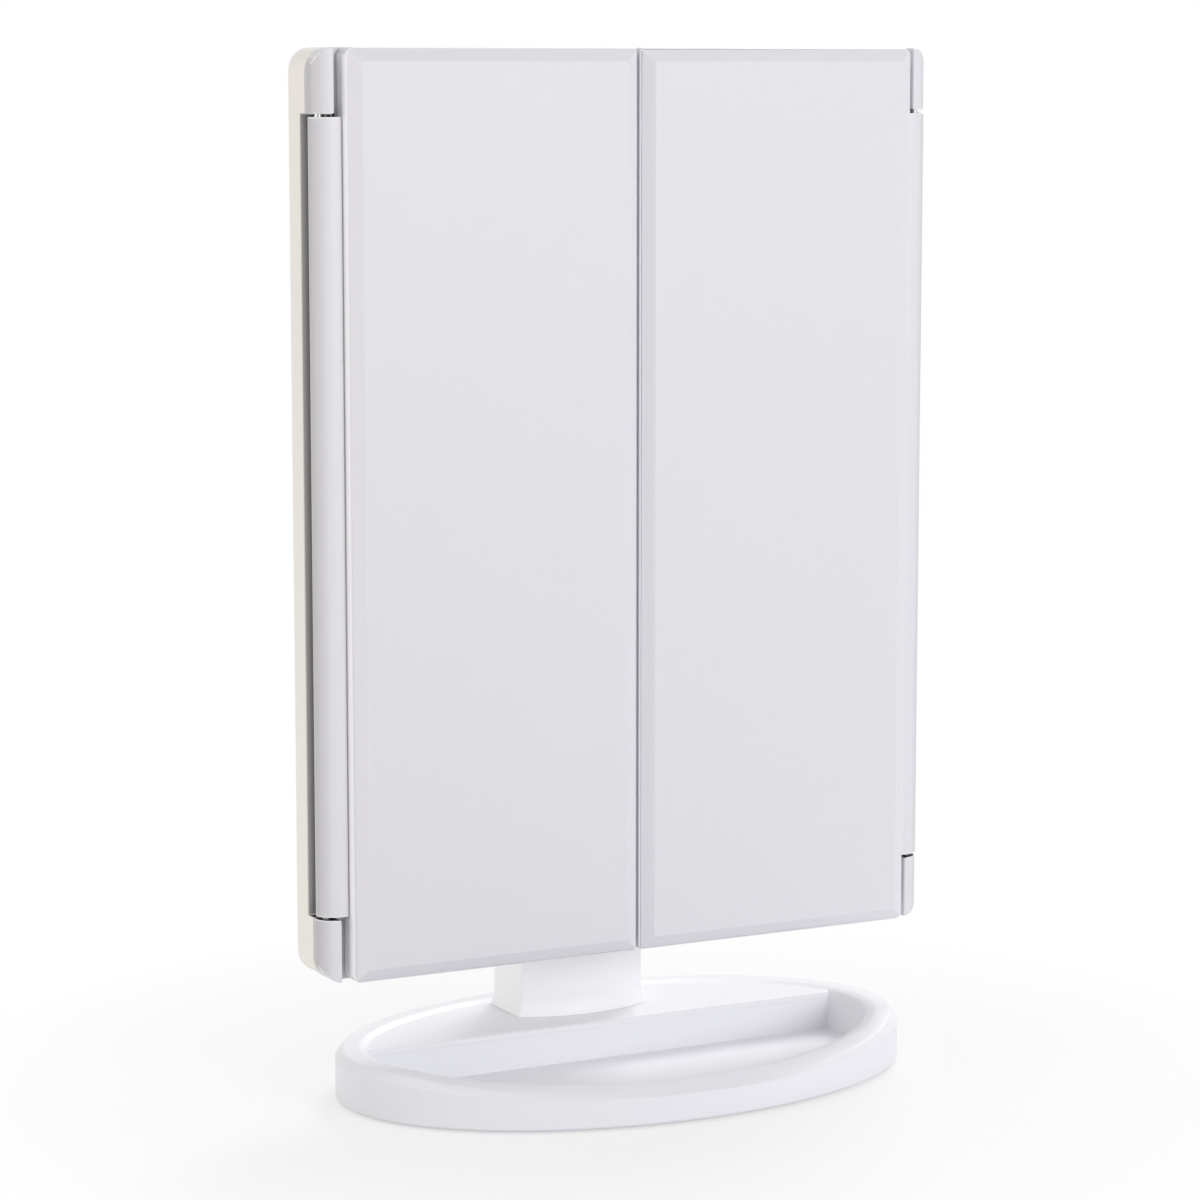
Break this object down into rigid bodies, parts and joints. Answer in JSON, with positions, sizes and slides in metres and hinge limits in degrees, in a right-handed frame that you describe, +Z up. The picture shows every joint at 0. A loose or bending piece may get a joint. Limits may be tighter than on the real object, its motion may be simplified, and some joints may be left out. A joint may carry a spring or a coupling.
{
  "type": "trifold vanity mirror",
  "caption": "Folding tabletop vanity mirror: two side wings close over a lighted centre mirror that tilts on a neck over an oval tray base",
  "frame": {"origin": "on the table, under the centre of the oval base", "axes": "X to the viewer's right, Y to the back, Z up; the wings face -Y"},
  "size_m": [0.184, 0.1054, 0.28],
  "materials": {
    "shell_white": "satin",
    "inner_white": "matte",
    "mirror_glass": "polished",
    "milky_plastic": "satin",
    "steel": "satin",
    "board_green": "satin",
    "board_white": "satin",
    "lamp_yellow": "satin",
    "black_plastic": "matte",
    "black_rubber": "matte",
    "cell_sleeve": "satin",
    "wire_sleeve": "satin"
  },
  "bodies": {
    "stand": {"base_tray": "shell_white", "base_bottom_plate": "inner_white", "rubber_feet": "black_rubber", "base_screws": "steel", "neck_shell": "shell_white", "neck_back_cover": "shell_white", "neck_cover_screws": "steel", "neck_screws": "steel", "friction_washers": "black_plastic"},
    "head": {"rear_casing": "shell_white", "front_frame": "shell_white", "centre_mirror": "mirror_glass", "light_diffuser_left": "milky_plastic", "light_diffuser_right": "milky_plastic", "led_board_left": "board_white", "led_board_right": "board_white", "leds_left": "lamp_yellow", "leds_right": "lamp_yellow", "control_board": "board_green", "board_screws": "steel", "touch_pad": "steel", "switch_case": "black_plastic", "usb_socket": "steel", "aa_cells": "cell_sleeve", "contact_springs": "steel", "contact_plates": "steel", "wiring": "wire_sleeve", "casing_screws": "steel", "hinge_pins_left": "steel", "hinge_pins_right": "steel", "tilt_bolt": "steel", "spring_washer": "steel", "tilt_nut": "steel", "hinge_caps": "shell_white"},
    "left_wing": {"left_wing_cover": "shell_white", "left_wing_bezel": "inner_white", "magnifier_upper": "mirror_glass", "magnifier_lower": "mirror_glass"},
    "right_wing": {"right_wing_cover": "shell_white", "right_wing_bezel": "inner_white", "right_mirror": "mirror_glass"},
    "battery_cover": {"battery_cover": "shell_white"},
    "power_switch": {"power_switch": "black_plastic"}
  },
  "joints": [
    {"name": "head_tilt", "type": "hinge", "parent": "stand", "child": "head", "pos_m": [0, 0.0306, 0.155], "axis": [-1, 0, 0], "range_deg": [-3, 90]},
    {"name": "left_wing_fold", "type": "hinge", "parent": "head", "child": "left_wing", "pos_m": [-0.0893, -0.003, 0.1585], "axis": [0, 0, -1], "range_deg": [0, 180]},
    {"name": "right_wing_fold", "type": "hinge", "parent": "head", "child": "right_wing", "pos_m": [0.0893, -0.003, 0.1585], "axis": [0, 0, 1], "range_deg": [0, 180]},
    {"name": "battery_cover_slide", "type": "slide", "parent": "head", "child": "battery_cover", "axis": [0, 0, 1], "range_m": [0, 0.055]},
    {"name": "power_switch_slide", "type": "slide", "parent": "head", "child": "power_switch", "axis": [1, 0, 0], "range_m": [0, 0.003]}
  ]
}
